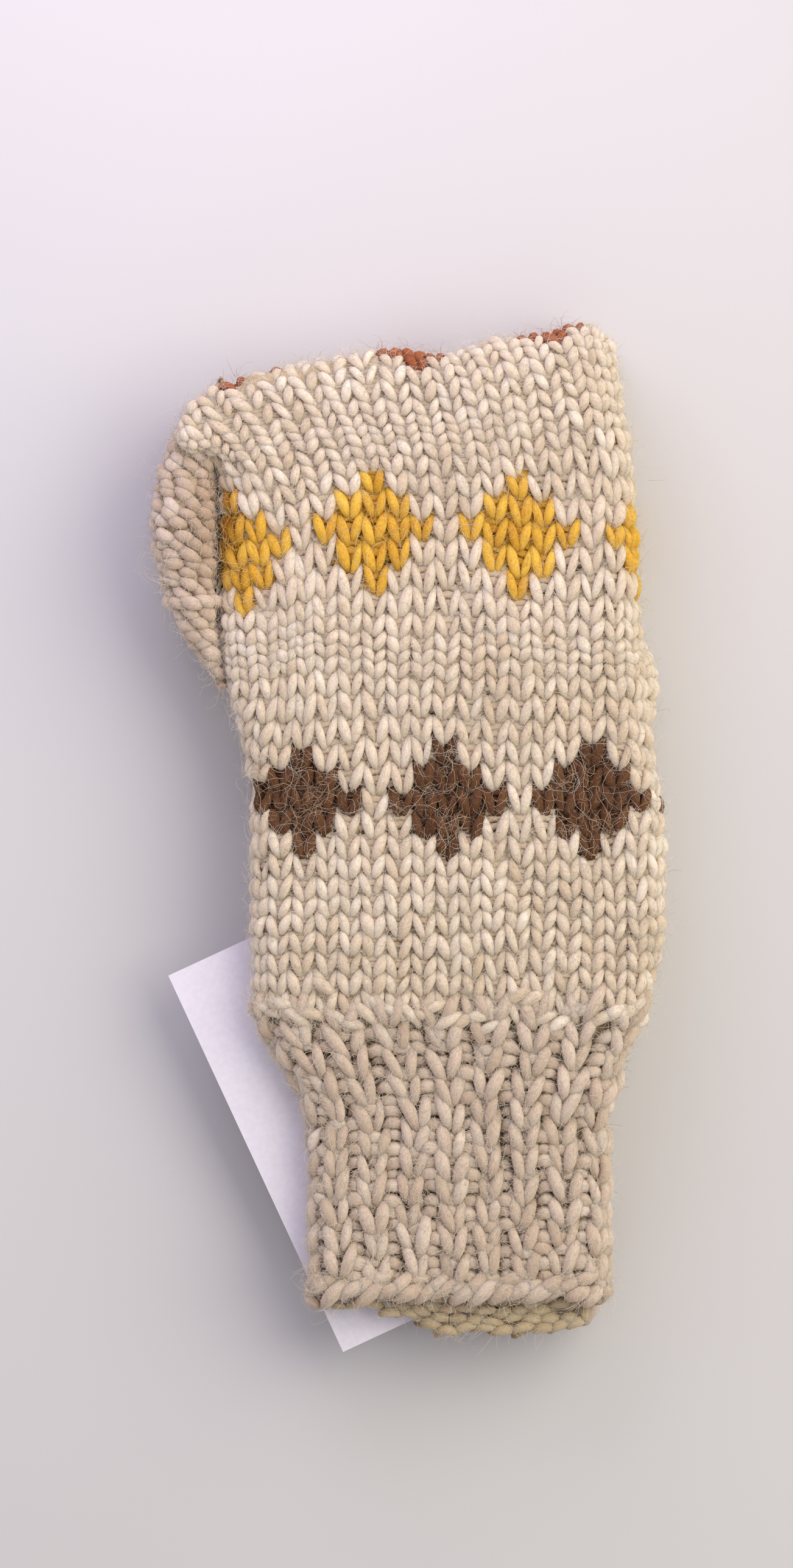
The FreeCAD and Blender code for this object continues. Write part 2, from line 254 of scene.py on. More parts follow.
def distance_field(loop):
    """Signed distance to an outline, positive inside, on the grid, with its two slopes."""
    start, end = loop, np.roll(loop, -1, axis=0)
    along = end - start
    length2 = (along**2).sum(1)
    field = np.empty((len(GRID_Y), len(GRID_X)))
    for row, y in enumerate(GRID_Y):
        points = np.stack([GRID_X, np.full_like(GRID_X, y)], axis=1)
        gap = points[:, None] - start[None]
        share = np.clip((gap * along).sum(2) / length2, 0, 1)
        nearest = np.linalg.norm(gap - share[..., None] * along, axis=2).min(1)
        spans = (start[:, 1] > y) != (end[:, 1] > y)
        crossing = start[spans, 0] + (y - start[spans, 1]) / along[spans, 1] * along[spans, 0]
        inside = (crossing[None] > GRID_X[:, None]).sum(1) % 2 == 1
        field[row] = np.where(inside, nearest, -nearest)
    slope_y, slope_x = np.gradient(field, GRID_STEP)
    return field, slope_x, slope_y


def look_up(grids, x, y):
    """Reads grids between their points."""
    column = np.clip((x - GRID_X[0]) / GRID_STEP, 0, len(GRID_X) - 1.001)
    row = np.clip((y - GRID_Y[0]) / GRID_STEP, 0, len(GRID_Y) - 1.001)
    i, j = column.astype(int), row.astype(int)
    fx, fy = column - i, row - j
    found = []
    for grid in grids:
        low = grid[j, i] * (1 - fx) + grid[j, i + 1] * fx
        high = grid[j + 1, i] * (1 - fx) + grid[j + 1, i + 1] * fx
        found.append(low * (1 - fy) + high * fy)
    return found


section_levels = np.concatenate([np.arange(8.0, CUFF_END, 2.0), np.arange(64.0, 186.0, 2.0)])
sections = np.array([section(body_edges, level) for level in section_levels])
half_thickness = (sections[:, 3] - sections[:, 2]) / 2
fields = {"front": distance_field(outline(True)), "palm": distance_field(outline(False))}


def edge_radius(x, y, layer):
    """How wide the turn at the fabric's edge is: half the mitten's thickness, tighter on the fold."""
    radius = np.interp(y, section_levels, half_thickness)
    if layer == "front":
        on_fold = smooth((FOLD_INNER_SIDE - x) / 8) * between(y, FOLD_START, 6, FOLD_END + 3, 8)
        radius = radius + (FOLD_RADIUS - radius) * on_fold
    return radius


def palm_drop(x):
    """How much lower the palm side of the cuff hangs than the back: most just right of the middle."""
    lowest, left_reach, right_reach = 3.0, 17.0, 30.0
    return PALM_HANGS * bell(x, lowest, np.where(x < lowest, left_reach, right_reach), 3)


def tip_shift(x, y):
    """The fingertips' uneven edge: pulled in at the middle, peaked near the outer corner."""
    dip = -2.9 * bell(x, -3, 10)
    peak = 2.3 * bell(x, 25, 5)
    shoulder = 1.2 * bell(x, -42, 6)
    return (dip + peak + shoulder) * smooth((y - 172) / 24)


def lower_bulge(x, y):
    """How far the lower mitten's right side comes out, part way up the hand, to show past the upper one."""
    return 3.2 * bell(y, 128.5, 7.5) * smooth((x - 10) / 20)


def surface(x, y, lift, layer):
    """Puts flattened fabric on the mitten: its points, moved out by lift, and its outward normals.

    The third result is how far inside the fabric's edge each point lies; negative is past it.
    """
    half = edge_radius(x, y, "palm")
    radius = edge_radius(x, y, layer)
    inside, slope_x, slope_y = look_up(fields[layer], x, y)
    inward = unit(np.stack([slope_x, slope_y], axis=-1))
    spread = inside + (math.pi / 2 - 1) * radius
    turn = np.clip(spread / radius, -0.5, math.pi / 2)
    turned = spread < math.pi / 2 * radius
    shift = np.where(turned, radius * (1 - np.cos(turn)) - inside, 0.0)
    plan = np.stack([x, y], axis=-1) + inward * shift[..., None]
    wave = 0.9 * ripple(x, y, 5, 70.0) + 0.35 * ripple(x, y, 6, 22.0)
    top = PALM_HEIGHT + 2 * half
    height = top - radius + radius * np.sin(turn) + (wave - 0.6) * smooth(turn)
    normal = np.concatenate([-inward * np.cos(turn)[..., None], np.sin(turn)[..., None]], axis=-1)
    if layer == "palm":
        height = top - radius - radius * np.sin(turn) + 0.5 * smooth(turn)
        normal[..., 2] *= -1
        plan[..., 1] -= palm_drop(x) * smooth((34 - y) / 34) * smooth(spread / 9)
    plan[..., 1] += tip_shift(plan[..., 0], plan[..., 1])
    points = np.concatenate([plan, height[..., None]], axis=-1)
    return points + normal * lift[..., None], normal, spread


def lattice(column, round_):
    """Where a stitch of the hand lies in the flattened fabric."""
    y = FIRST_ROUND + ROUND * round_
    y = y - (ROUND - ROUND_ABOVE_YELLOW) * np.maximum(round_ - YELLOW_ROUND, 0.0)
    from_brown, from_yellow = round_ - BROWN_ROUND - 1.5, round_ - YELLOW_ROUND - 0.3
    y = y + 0.45 * from_brown * bell(from_brown, 0, 5.5, 4)
    y = y + 0.98 * from_yellow * bell(from_yellow, 0, 5.5, 4)
    x = FIRST_COLUMN + STITCH * column
    climb = np.clip((y - 163) / 30, 0, 1.4)
    far_left = smooth((-x - 8) / 38)
    lean = -(5.0 + 7.5 * far_left) * climb**1.5
    pull = 3.2 * smooth((-x - 28) / 16) * between(y, 112, 16, 166, 22)
    tilt = ((x - 26) * 0.115 - 3.0 * far_left**2) * smooth(climb)
    band = between(y, 128, 20, 182, 20)
    tilt = tilt - band * (5.0 * smooth((-x - 26) / 20) + 1.6 * smooth(x / 16))
    return x + lean + pull + 0.55 * ripple(x, y, 11, 34.0), y + tilt + 0.75 * ripple(x, y, 12, 38.0)


# ---- strands of yarn as meshes
# A strand's pointed end, as a share of its radius, and how fast its streaks wind round it
TIP_REACH = 0.7
TWIST = 0.5
# Painted shade: how much darker a strand is painted underneath and at its ends; the tone and painted shade
# of the backing skins, and the painted shade of loose fibres
UNDERSIDE_SHADE = 0.22
END_SHADE = 0.3
LINING_TONE = 0.4
LINING_DEPTH = 0.8
FIBRE_DEPTH = 0.9


class Strands:
    """Collects closed strands and fibres, and makes them one mesh piece.

    Three values at each corner feed the wool's shader: fibre, a place along and round the yarn; tone,
    which is one value for each strand; and depth, which sets the painted shade: about 0 where it lies deep,
    1 on the surface.
    """

    def __init__(self):
        self.vertices, self.quads, self.triangles = [], [], []
        self.tone, self.fibre, self.depth = [], [], []
        self.laid = []
        self.count = 0

    def collect(self, block, quads, triangles, fibre, depth, tone):
        """Takes in strands of one make: block is [strand, corner, 3]; quads and triangles number corners."""
        many, size = block.shape[:2]
        base = self.count + np.arange(many)[:, None, None] * size
        self.quads.append((base + quads[None]).reshape(-1, 4))
        self.triangles.append((base + triangles[None]).reshape(-1, 3))
        self.vertices.append(block.reshape(-1, 3))
        self.fibre.append(fibre.reshape(-1, 3))
        self.depth.append(depth.ravel())
        self.tone.append(np.repeat(tone, size))
        self.count += many * size

    def add(self, points, normals, radius, sides, tone, depth, shown=None, flat=1.0, hairy=True):
        """Adds strands along points [strand, step, 3]; shown picks some of them, and flat widens them.

        radius and depth, which sets the painted shade, can be one value, or one row for all. Loose fibres
        are peeled from hairy ones only.
        """
        radius, depth = (np.broadcast_to(values, points.shape[:2]) for values in (radius, depth))
        if shown is not None:
            points, normals, radius, tone, depth = (v[shown] for v in (points, normals, radius, tone, depth))
        many, steps = points.shape[:2]
        if many == 0:
            return
        wide = radius * flat
        if hairy:
            self.laid.append((points, normals, wide))
        heading = unit(np.gradient(points, axis=1))
        across = unit(np.cross(heading, normals))
        up = np.cross(across, heading)
        angle = np.arange(sides) * 2 * math.pi / sides
        sideways = (wide[..., None] * np.cos(angle))[..., None] * across[:, :, None]
        upward = (radius[..., None] * np.sin(angle))[..., None] * up[:, :, None]
        ring = points[:, :, None] + sideways + upward
        first = points[:, 0] - heading[:, 0] * wide[:, :1] * TIP_REACH
        last = points[:, -1] + heading[:, -1] * wide[:, -1:] * TIP_REACH
        block = np.concatenate([ring.reshape(many, -1, 3), first[:, None], last[:, None]], axis=1)
        around = np.arange(sides)
        after = np.roll(around, -1)
        end = (steps - 1) * sides
        point = np.full(sides, steps * sides)
        caps = [np.stack([point, around, after], 1), np.stack([point + 1, end + after, end + around], 1)]
        strides = np.linalg.norm(np.diff(points, axis=1, prepend=points[:, :1]), axis=2)
        travelled = strides.cumsum(axis=1)[..., None]
        girth = np.sin(angle) * radius[..., None] + travelled * TWIST
        seed = rng.uniform(0, 900, many)[:, None, None]
        places = np.broadcast_arrays(travelled + seed, girth + seed * 0.7, np.cos(angle) * wide[..., None])
        fibre = np.stack(places, axis=-1).reshape(many, -1, 3)
        fibre = np.concatenate([fibre, fibre[:, :1], fibre[:, -1:]], axis=1)
        # Painted shade: darker underneath each strand and at its pointed ends
        deep = np.repeat(depth, sides, axis=1) - UNDERSIDE_SHADE * (1 - np.tile(np.sin(angle), steps))
        deep = np.concatenate([deep, depth[:, :1] - END_SHADE, depth[:, -1:] - END_SHADE], axis=1)
        self.collect(block, sleeve(steps, sides), np.concatenate(caps), fibre, deep, tone)

    def add_fibres(self, points, normals, wide, tone):
        """Fine fibres, each a closed three-sided sliver along its points."""
        many, steps = points.shape[:2]
        across = unit(np.cross(unit(np.gradient(points, axis=1)), normals)) * wide[..., None]
        crest = points + normals * wide[..., None] * 1.2
        block = np.stack([points - across, points + across, crest], axis=2).reshape(many, -1, 3)
        end = 3 * (steps - 1)
        ends = np.array([[0, 2, 1], [end, end + 1, end + 2]])
        depth = np.full(block.shape[:2], FIBRE_DEPTH)
        self.collect(block, sleeve(steps, 3)[:, ::-1], ends, block, depth, tone)

    def add_skin(self, vertices, quads):
        """Adds a ready-made closed skin, one strand of its own."""
        fibre = vertices[:, [1, 0, 2]]
        depth = np.full(len(vertices), LINING_DEPTH)
        none = np.zeros((0, 3), int)
        self.collect(vertices[None], quads, none, fibre, depth, np.array([LINING_TONE]))

    def build(self, name, material, mirrored):
        """One smooth mesh object, in the row frame. A mirrored one belongs to the left mitten."""
        points = np.concatenate(self.vertices)
        quads = np.concatenate(self.quads)
        triangles = np.concatenate(self.triangles)
        if mirrored:
            points[:, 2] = 2 * MIRROR_HEIGHT - points[:, 2]
            points[:, 0] += lower_bulge(points[:, 0], points[:, 1])
            quads, triangles = quads[:, ::-1], triangles[:, ::-1]
        points[:, 2] = np.maximum(points[:, 2], TABLE_CLEARANCE)
        points[:, 1] -= ORIGIN_ALONG
        points *= MM
        loops = np.r_[quads.ravel(), triangles.ravel()].astype(np.int32)
        totals = np.repeat((4, 3), (len(quads), len(triangles))).astype(np.int32)
        starts = np.r_[0, totals.cumsum()[:-1]].astype(np.int32)
        mesh = bpy.data.meshes.new(name)
        mesh.vertices.add(len(points))
        mesh.vertices.foreach_set("co", points.astype(np.float32).ravel())
        mesh.loops.add(len(loops))
        mesh.loops.foreach_set("vertex_index", loops)
        mesh.polygons.add(len(totals))
        mesh.polygons.foreach_set("loop_start", starts)
        mesh.polygons.foreach_set("loop_total", totals)
        mesh.polygons.foreach_set("use_smooth", np.ones(len(totals), bool))
        for label, values in (("tone", self.tone), ("depth", self.depth)):
            layer = mesh.attributes.new(label, "FLOAT", "POINT")
            layer.data.foreach_set("value", np.concatenate(values).astype(np.float32))
        layer = mesh.attributes.new("fibre", "FLOAT_VECTOR", "POINT")
        layer.data.foreach_set("vector", np.concatenate(self.fibre).astype(np.float32).ravel())
        mesh.update(calc_edges=True)
        mesh.materials.append(material)
        return add_object(name, mesh)


def add_object(name, data):
    """A new object in the scene."""
    made = bpy.data.objects.new(name, data)
    bpy.context.scene.collection.objects.link(made)
    return made


# ---- materials
MIX_FACTOR, MIX_FIRST, MIX_SECOND = 0, 6, 7


def new_material(name):
    """A new material with its node tree and its principled shader."""
    material = bpy.data.materials.new(name)
    material.use_nodes = True
    return material, material.node_tree, material.node_tree.nodes["Principled BSDF"]


def fill(tree, node, inputs):
    """Sets a node's inputs to plain values, or links them to other nodes' sockets."""
    for name, value in inputs.items():
        if isinstance(value, bpy.types.NodeSocket):
            tree.links.new(value, node.inputs[name])
        else:
            node.inputs[name].default_value = value


def add_node(tree, kind, inputs, **settings):
    """A new node with its settings and inputs."""
    node = tree.nodes.new(kind)
    for name, value in settings.items():
        setattr(node, name, value)
    fill(tree, node, inputs)
    return node


def attribute(tree, name, output):
    """A value that the mesh carries."""
    return add_node(tree, "ShaderNodeAttribute", {}, attribute_name=name).outputs[output]


def noise(tree, vector, scale, detail, roughness=0.5):
    """A noise that runs over some place."""
    inputs = {"Vector": vector, "Scale": scale, "Detail": detail, "Roughness": roughness}
    return add_node(tree, "ShaderNodeTexNoise", inputs).outputs["Fac"]


def mapped(tree, value, low, high, to_low=0.0, to_high=1.0):
    """A number moved from one range to another, held at the ends."""
    inputs = {"Value": value, "From Min": low, "From Max": high, "To Min": to_low, "To Max": to_high}
    return add_node(tree, "ShaderNodeMapRange", inputs).outputs["Result"]


def mixed(tree, factor, first, second):
    """A mix of two colours, each a node's socket or red, green and blue."""
    first, second = (
        colour if isinstance(colour, bpy.types.NodeSocket) else (*colour, 1) for colour in (first, second)
    )
    inputs = {MIX_FACTOR: factor, MIX_FIRST: first, MIX_SECOND: second}
    return add_node(tree, "ShaderNodeMix", inputs, data_type="RGBA").outputs[2]


def bumped(tree, shader, height, strength, distance):
    """Gives a shader small relief."""
    inputs = {"Height": height, "Strength": strength, "Distance": distance}
    fill(tree, shader, {"Normal": add_node(tree, "ShaderNodeBump", inputs).outputs["Normal"]})


def wool(name, shade, body, light, fleck, fleck_share, sheen):
    """Spun wool: streaks along the yarn, tone from strand to strand, and painted shade where it lies deep.
    """
    material, tree, shader = new_material(name)
    place = {0: attribute(tree, "fibre", "Vector"), 1: (0.5, 5.2, 5.2)}
    stretched = add_node(tree, "ShaderNodeVectorMath", place, operation="MULTIPLY").outputs[0]
    streak = noise(tree, stretched, 1.0, 5.0, 0.62)
    levels = {0: mapped(tree, streak, 0.3, 0.7, -0.5, 0.5), 1: attribute(tree, "tone", "Fac")}
    level = add_node(tree, "ShaderNodeMath", levels, operation="ADD").outputs[0]
    colour = mixed(tree, mapped(tree, level, 0.0, 1.0), body, light)
    spotted = mapped(tree, noise(tree, stretched, 0.4, 3.0), 0.6, 0.74, 0.0, fleck_share)
    colour = mixed(tree, spotted, colour, fleck)
    # Painted shade: a low depth value mixes the colour towards the shade colour
    out_of_painted_shade = mapped(tree, attribute(tree, "depth", "Fac"), 0.0, 0.85)
    fill(tree, shader, {
        "Base Color": mixed(tree, out_of_painted_shade, shade, colour),
        "Roughness": 0.9,
        "Specular IOR Level": 0.15,
        "Subsurface Weight": 0.4,
        "Subsurface Radius": (1.0, 0.75, 0.5),
        "Subsurface Scale": 0.0018,
        "Sheen Weight": sheen,
        "Sheen Roughness": 0.5,
        "Sheen Tint": (*light, 1),
    })
    bumped(tree, shader, streak, 0.6, 0.0003)
    return material


def hair(name, colour, sheen):
    """A loose fibre; some are darker than others."""
    material, tree, shader = new_material(name)
    dim = tuple(0.72 * part for part in colour)
    share = mapped(tree, attribute(tree, "tone", "Fac"), 0.0, 1.0)
    base = mixed(tree, share, dim, colour)
    fill(tree, shader, {"Base Color": base, "Roughness": 0.6})
    fill(tree, shader, {"Specular IOR Level": 0.2, "Sheen Weight": sheen})
    return material


def paper(name):
    """Smooth uncoated card stock with a faint grain."""
    material, tree, shader = new_material(name)
    place = add_node(tree, "ShaderNodeTexCoord", {}).outputs["Object"]
    grain = noise(tree, place, 900.0, 3.0)
    base = mixed(tree, mapped(tree, grain, 0.35, 0.65), (0.78, 0.75, 0.82), (0.82, 0.79, 0.86))
    fill(tree, shader, {"Base Color": base, "Roughness": 0.6})
    bumped(tree, shader, grain, 0.08, 0.0001)
    return material


# Each wool's painted shade colour for where it lies deep, its body, light streaks and flecks; the flecks'
# share and the sheen
DARK_FLECK = (0.20, 0.11, 0.05)
PALE_FLECK = (0.5, 0.38, 0.26)
WOOLS = {
    "cream": ((0.49, 0.37, 0.23), (0.64, 0.51, 0.36), (0.88, 0.78, 0.65), DARK_FLECK, 0.35, 0.35),
    # The cuff wool is a darker, pinker copy of the cream: painted shade on the cuff, its cast-on edge and
    # the thumb
    "cuff": ((0.44, 0.32, 0.22), (0.56, 0.44, 0.33), (0.80, 0.69, 0.58), DARK_FLECK, 0.35, 0.35),
    "brown": ((0.025, 0.012, 0.006), (0.078, 0.033, 0.014), (0.17, 0.08, 0.035), PALE_FLECK, 0.25, 0.25),
    "yellow": ((0.30, 0.13, 0.015), (0.60, 0.31, 0.025), (0.88, 0.57, 0.09), (0.55, 0.16, 0.03), 0.6, 0.12),
    "rust": ((0.08, 0.02, 0.008), (0.26, 0.07, 0.025), (0.42, 0.15, 0.07), (0.6, 0.4, 0.25), 0.2, 0.15),
}
# Painted shade: a dark tan wool for the backing skins and the inside bumps, standing for the shade in the
# gaps
SHADED_WOOL = ((0.30, 0.22, 0.12), (0.50, 0.39, 0.24), (0.64, 0.52, 0.34), DARK_FLECK, 0.3, 0.2)
MATERIALS = {yarn: wool(f"{yarn}_wool", *look) for yarn, look in WOOLS.items()}
MATERIALS |= {
    "lining": wool("wool_in_shade", *SHADED_WOOL),
    "cream_hair": hair("cream_fibres", (0.86, 0.76, 0.60), 0.3),
    "pale_hair": hair("pale_guard_hairs", (0.62, 0.43, 0.27), 0.2),
    "gold_hair": hair("pale_yellow_fibres", (0.86, 0.60, 0.20), 0.1),
    "brown_hair": hair("brown_fibres", (0.24, 0.13, 0.07), 0.2),
    "yellow_hair": hair("yellow_fibres", (0.84, 0.50, 0.08), 0.1),
    "rust_hair": hair("rust_fibres", (0.50, 0.19, 0.09), 0.2),
}


# ---- the hand's knitting
def lay(
    piece, x, y, lift, layer, radius, sides, tone, depth, margin,
    flat=1.0, face=1.0, hairy=True, yarns=None,
):
    """Lays strands along the fabric, those whose middles are farther inside its edge than the margin.

    Where yarns names each strand's yarn, piece holds a piece for each of them.
    """
    points, normals, spread = surface(x, y, lift, layer)
    shown = spread[:, x.shape[1] // 2] > margin
    for yarn, own_piece in ({None: piece} if yarns is None else piece).items():
        chosen = shown if yarn is None else shown & (yarns == yarn)
        own_piece.add(points, normals * face, radius, sides, tone, depth, chosen, flat, hairy)


def every_stitch():
    """Column and round of each stitch on one layer of the hand."""
    return pairs_of(np.arange(-LAST_COLUMN, LAST_COLUMN + 1), np.arange(LAST_ROUND + 1))


def yarn_of(column, round_):
    """Each stitch's yarn: cream, but for the stepped diamonds of the three bands."""
    yarn = np.full(column.shape, "cream", dtype="<U6")
    for band, (middle_round, first) in BANDS.items():
        across = np.abs((column - first + REPEAT / 2) % REPEAT - REPEAT / 2)
        yarn[across + np.abs(round_ - middle_round) <= DIAMOND_REACH] = band
    return yarn


def painted_crease_shade(x, y):
    """How much painted shade a point gets in the hollow between the hand and its thumb."""
    return bell(x, -52.5, 4.5) * bell(y, 161, 12)


def knit_hand(pieces, layer, steps, sides, seed):
    """Both arms of each knit stitch on one layer of the hand."""
    own = default_rng(seed)
    column, round_ = every_stitch()
    many = len(column)
    t = steps_along(steps)
    hump = swell(t)
    for hand in (-1, 1):
        odd = vary(own, many, 5)
        aside = hand * (0.05 + 0.40 * t**0.9) + 0.03 * odd[0]
        ahead = -0.40 + 1.24 * t * (1 + 0.05 * odd[1]) + 0.07 * odd[2]
        x, y = lattice(column[:, None] + aside, round_[:, None] + ahead)
        lift = -2.6 + 1.75 * hump**0.75 + 0.20 * odd[3]
        radius = STITCH_RADIUS * (1 + 0.12 * odd[4]) * (0.48 + 0.52 * hump**0.8)
        uneven = 0.12 * ripple(column * STITCH, round_ * ROUND, 21, 45.0)
        tone = 0.5 + 0.17 * own.normal(0, 1, many) + uneven
        # Painted shade at the stitches' tucked ends and in the crease by the thumb
        depth = 0.40 + 0.65 * hump - 1.3 * painted_crease_shade(x, y)
        yarns = yarn_of(column, round_)
        lay(pieces, x, y, lift, layer, radius, sides, tone, depth, -1.2, STITCH_WIDENED, yarns=yarns)


def knit_back(pieces, layer, seed):
    """The loops' heads, lying across behind the stitches and filling their openings."""
    own = default_rng(seed)
    column, round_ = every_stitch()
    t = steps_along(5)
    bow = np.sin(math.pi * t)
    odd = vary(own, len(column), 3)
    for offset in (0.0, 0.33, 0.66):
        aside = (t - 0.5) * 1.05 + 0.08 * odd[0]
        ahead = offset + 0.18 * bow + 0.07 * odd[1]
        x, y = lattice(column[:, None] + aside, round_[:, None] + ahead)
        radius = HEAD_RADIUS * (1 + 0.1 * odd[2])
        tone = 0.25 + 0.15 * own.normal(0, 1, len(column))
        yarns = yarn_of(column, round_)
        lay(pieces, x, y, -2.65 + 0.45 * bow, layer, radius, 5, tone, 0.62, 0.3, hairy=False, yarns=yarns)


# ---- the cuff's knitting
def cuff_point(share, y):
    """Where a point of the flattened cuff lies: share runs from -1 at the left edge to 1."""
    left, right = (np.interp(y, section_levels, sections[:, k]) for k in (0, 1))
    radius = np.interp(y, section_levels, half_thickness)
    return (left + right) / 2 + share * ((right - left) / 2 + (math.pi / 2 - 1) * radius)


def rib_share(position):
    """A position across the cuff, in millimetres at the cuff's own width, as a share."""
    middle = float(cuff_point(0.0, CUFF_LEVEL))
    return (position - middle) / (float(cuff_point(1.0, CUFF_LEVEL)) - middle)


def knit_ribs(piece, layer, steps, sides, own):
    """Raised ribs of knit stitches, each rib's rounds starting at a height of its own."""
    t = steps_along(steps)
    hump = swell(t)
    ribs = np.arange(-RIBS_EACH_SIDE - 1, RIBS_EACH_SIDE + 2)
    rib, round_ = pairs_of(ribs, np.arange(RIB_ROUNDS))
    start = 5.4 + own.uniform(-1.3, 1.3, len(ribs))[(rib - ribs[0]).astype(int)]
    for hand in (-1, 1):
        odd = vary(own, len(rib), 5)
        across = RIB_MIDDLE + RIB_PITCH * rib[:, None]
        across = across + (hand * (0.52 + 2.08 * t**0.9) * (1 + 0.08 * odd[4]) + 0.26 * odd[0])
        ahead = round_[:, None] - 0.45 + 1.34 * t * (1 + 0.09 * odd[1])
        y = start[:, None] + RIB_ROUND * ahead + 0.45 * odd[2]
        x = cuff_point(rib_share(across), y) + 0.7 * ripple(across, y, 31, 30.0)
        lift = -2.2 + 1.9 * hump**0.75 + 0.3 * odd[3] - 0.7 * t**2
        radius = RIB_RADIUS * (1 + 0.10 * odd[4]) * (0.50 + 0.50 * hump**0.8)
        tone = 0.30 + 0.2 * own.normal(0, 1, len(rib))
        lay(piece, x, y, lift, layer, radius, sides, tone, 0.38 + 0.7 * hump, -0.6, 1.02)


def knit_valleys(piece, layer, steps, own):
    """Sunken purl bumps between the ribs and under them."""
    t = steps_along(steps)
    bow = 1 - (2 * t - 1) ** 2
    rib, row = pairs_of(np.arange(-2 * RIBS_EACH_SIDE - 2, 2 * RIBS_EACH_SIDE + 3) / 2, np.arange(20))
    odd = vary(own, len(rib), 4)
    aside = (t - 0.5) * (2.9 + 0.4 * odd[3])
    across = RIB_MIDDLE + RIB_PITCH * rib[:, None] + aside + 0.35 * odd[0]
    y = 3.4 + RIB_ROUND / 2 * row[:, None] + 0.9 * bow + 0.3 * odd[1] + 0.10 * aside * odd[2]
    x = cuff_point(rib_share(across), y)
    in_valley = np.abs(rib - np.round(rib)) > 0.1
    lift = np.where(in_valley, -2.45, -2.6)[:, None] + 0.8 * bow + 0.25 * odd[3]
    radius = PURL_RADIUS * (0.6 + 0.4 * swell(t)) * (1 + 0.12 * odd[3])
    tone = 0.30 + 0.18 * own.normal(0, 1, len(rib))
    lay(piece, x, y, lift, layer, radius, 6, tone, 0.5 + 0.35 * bow, 0.5, hairy=False)


def knit_cuff(piece, layer, steps, sides, seed):
    """One layer of the knit-one purl-one cuff."""
    own = default_rng(seed)
    knit_ribs(piece, layer, steps, sides, own)
    knit_valleys(piece, layer, steps, own)


def cast_on(piece, layer, steps, sides, seed):
    """Thick slanted strands along the cuff's edge, two to each rib, in two tiers."""
    own = default_rng(seed)
    t = steps_along(steps)
    hump = swell(t, 0.05, 0.9)
    start = np.arange(-40.0, 40.0, RIB_PITCH / 2)[:, None]
    many = len(start)
    for tier in (0, 1):
        odd = vary(own, many, 5)
        slant = np.where(np.arange(many) % 2 == tier, 1.0, 0.35)[:, None] + 0.25 * odd[4]
        across = RIB_MIDDLE + start + 1.9 * tier + (t - 0.5) * (5.4 + 0.8 * odd[0])
        y = 0.8 + 2.0 * tier + slant * 4.2 * (t - 0.5) + 0.6 * odd[1] + 0.5 * hump * (0.5 - tier)
        x = cuff_point(rib_share(across), np.maximum(y, CUFF_START))
        lift = -1.9 - 0.3 * tier + 1.35 * hump + 0.3 * odd[2]
        radius = (CAST_ON_RADIUS - 0.12 * tier) * (1 + 0.09 * odd[3]) * (0.5 + 0.5 * hump**0.8)
        tone = 0.18 + 0.18 * own.normal(0, 1, many)
        lay(piece, x, y, lift, layer, radius, sides, tone, 0.2 + 0.8 * hump, -0.6, 1.05)


def inside_bumps(piece, sides, seed):
    """Purl bumps on the inside of the palm layer, seen where it hangs below the back."""
    own = default_rng(seed)
    t = steps_along(6)
    hump = swell(t, 0.04, 0.92)
    start, row = pairs_of(np.arange(-34.0, 36.0, RIB_PITCH / 2), np.arange(6))
    odd = vary(own, len(start), 5)
    x = start[:, None] + RIB_PITCH / 4 * (row % 2)[:, None] + (t - 0.5) * (4.6 + 0.6 * odd[0]) + 0.4 * odd[1]
    y = -1.7 + 1.9 * row[:, None] + 0.45 * odd[2] + (0.7 * odd[3] + 0.4) * (t - 0.5) + 0.7 * hump
    lift = -3.7 - 0.8 * hump + 0.2 * odd[4]
    radius = INSIDE_RADIUS * (1 + 0.1 * odd[4]) * (0.45 + 0.55 * hump**0.8)
    tone = 0.45 + 0.2 * own.normal(0, 1, len(start))
    lay(piece, x, y, lift, "palm", radius, sides, tone, 0.35 + 0.6 * hump, 1.0, face=-1.0)


def increase(piece, layer, steps, sides, seed):
    """The uneven round where stitches are added above the rib: oblique strands among the stitches."""
    own = default_rng(seed)
    t = steps_along(steps)
    hump = swell(t, 0.03)
    start = np.arange(-43.0, 45.0, 2.9)[:, None]
    odd = vary(own, len(start), 6)
    slope = np.where(start < -8, -0.42, 0.30) + 0.28 * odd[0]
    run = (t - 0.5) * (6.4 + 0.8 * odd[1])
    y = 59.0 + slope * run + 1.9 * odd[2] + 0.5 * hump
    lift = -2.2 + 1.75 * hump**0.8 + 0.25 * odd[3]
    radius = INCREASE_RADIUS * (1 + 0.1 * odd[4]) * (0.5 + 0.5 * hump**0.8)
    tone = 0.5 + 0.2 * own.normal(0, 1, len(start))
    lay(piece, start + run, y, lift, layer, radius, sides, tone, 0.25 + 0.8 * hump, -0.5)


# ---- the thumb's knitting
# Levels at which the thumb is read from the CAD, close together where it changes fast
THUMB_LOW = [126.9, 129, 132, 134, 136.5, 138, 140, 142, 142.9, 144, 145.5, 147, 150, 153]
THUMB_HIGH = [156, 160, 163, 166, 170, 173, 176, 180, 183, 185, 188, 189.5, 190.7, 191.4]
thumb_levels = np.array(THUMB_LOW + THUMB_HIGH)
thumb_edges = node_edges(THUMB_NODES)
thumb_sections = np.array([section(thumb_edges, level) for level in thumb_levels])
BUMP_PITCH = 2.05


def thumb_section(y):
    """The thumb's left, right, lowest and highest point at some length."""
    return (np.interp(y, thumb_levels, thumb_sections[:, k]) for k in range(4))


def thumb_surface(angle, y, lift):
    """A point on the thumb: angle runs round it from the palm side over the outside to the top."""
    left, right, low, high = thumb_section(y)
    half, tall = (right - left) / 2, (high - low) / 2
    x = (left + right) / 2 + (half + lift) * np.cos(angle)
    z = (low + high) / 2 + (tall + lift) * np.sin(angle)
    normal = unit(np.stack([np.cos(angle) * tall, 0 * angle, np.sin(angle) * half], axis=-1))
    return np.stack([x, y, z], axis=-1), normal


